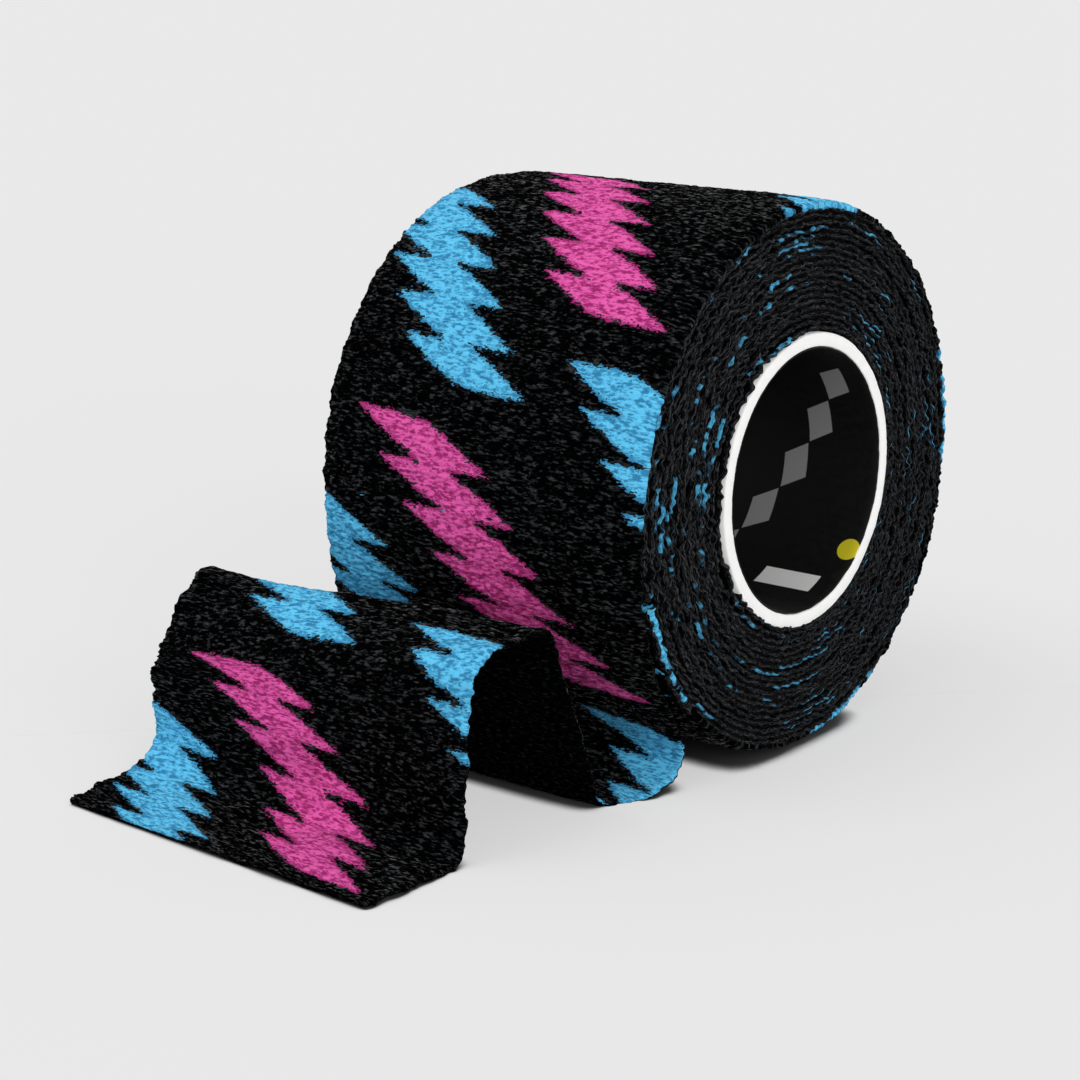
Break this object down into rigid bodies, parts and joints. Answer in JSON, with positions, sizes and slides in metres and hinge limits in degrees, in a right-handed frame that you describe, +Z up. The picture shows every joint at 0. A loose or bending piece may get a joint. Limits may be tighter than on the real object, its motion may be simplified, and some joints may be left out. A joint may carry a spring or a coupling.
{
  "type": "grip tape roll",
  "caption": "Roll of black elastic cloth grip tape with a zigzag print on a paperboard core, its free tail folded into a hump in front of the roll.",
  "frame": {"origin": "on the table where the roll rests, at mid width", "axes": "+X along the roll's axis towards the end seen in the picture, -Y the way the tape pays out, +Z up"},
  "size_m": [0.0453, 0.0832, 0.0535],
  "materials": {
    "paperboard": "uncoated white paperboard",
    "printed_ply": "smooth black printed paper",
    "cloth": "crinkled elastic cloth, black with a blue and pink print",
    "adhesive": "matt self-adhesive coat"
  },
  "bodies": {
    "tail_foot": {"tail_foot_cloth": "cloth", "tail_foot_adhesive": "adhesive"},
    "roll": {"core_tube": "paperboard", "core_inner_ply": "printed_ply", "coil_cloth": "cloth", "coil_adhesive": "adhesive"},
    "tail_riser": {"tail_riser_cloth": "cloth", "tail_riser_adhesive": "adhesive"},
    "tail_top": {"tail_top_cloth": "cloth", "tail_top_adhesive": "adhesive"},
    "tail_leg": {"tail_leg_cloth": "cloth", "tail_leg_adhesive": "adhesive"},
    "tail_toe": {"tail_toe_cloth": "cloth", "tail_toe_adhesive": "adhesive"},
    "tail_end": {"tail_end_cloth": "cloth", "tail_end_adhesive": "adhesive"}
  },
  "joints": [
    {"name": "roll_turn", "type": "hinge", "parent": "tail_foot", "child": "roll", "pos_m": [0, 0, 0.02656], "axis": [1, 0, 0], "continuous": true},
    {"name": "trough_bend", "type": "hinge", "parent": "tail_foot", "child": "tail_riser", "pos_m": [0, -0.0256, 0.0004], "axis": [1, 0, 0], "range_deg": [-8, 50], "stiffness_Nm_per_rad": 0.004},
    {"name": "crest_bend", "type": "hinge", "parent": "tail_riser", "child": "tail_top", "pos_m": [0, -0.0351, 0.0184], "axis": [1, 0, 0], "range_deg": [-64, 11]},
    {"name": "shoulder_bend", "type": "hinge", "parent": "tail_top", "child": "tail_leg", "pos_m": [0, -0.0429, 0.016], "axis": [1, 0, 0], "range_deg": [-54, 9]},
    {"name": "toe_bend", "type": "hinge", "parent": "tail_leg", "child": "tail_toe", "pos_m": [0, -0.0453, 0.0008], "axis": [1, 0, 0], "range_deg": [-11, 68]},
    {"name": "end_lift", "type": "hinge", "parent": "tail_toe", "child": "tail_end", "pos_m": [0, -0.049, 0.0005], "axis": [1, 0, 0], "range_deg": [-70, 0], "stiffness_Nm_per_rad": 0.001}
  ],
  "couplings": [
    {"joint": "crest_bend", "follows": "trough_bend", "ratio": -1.275},
    {"joint": "shoulder_bend", "follows": "trough_bend", "ratio": -1.07},
    {"joint": "toe_bend", "follows": "trough_bend", "ratio": 1.345}
  ]
}
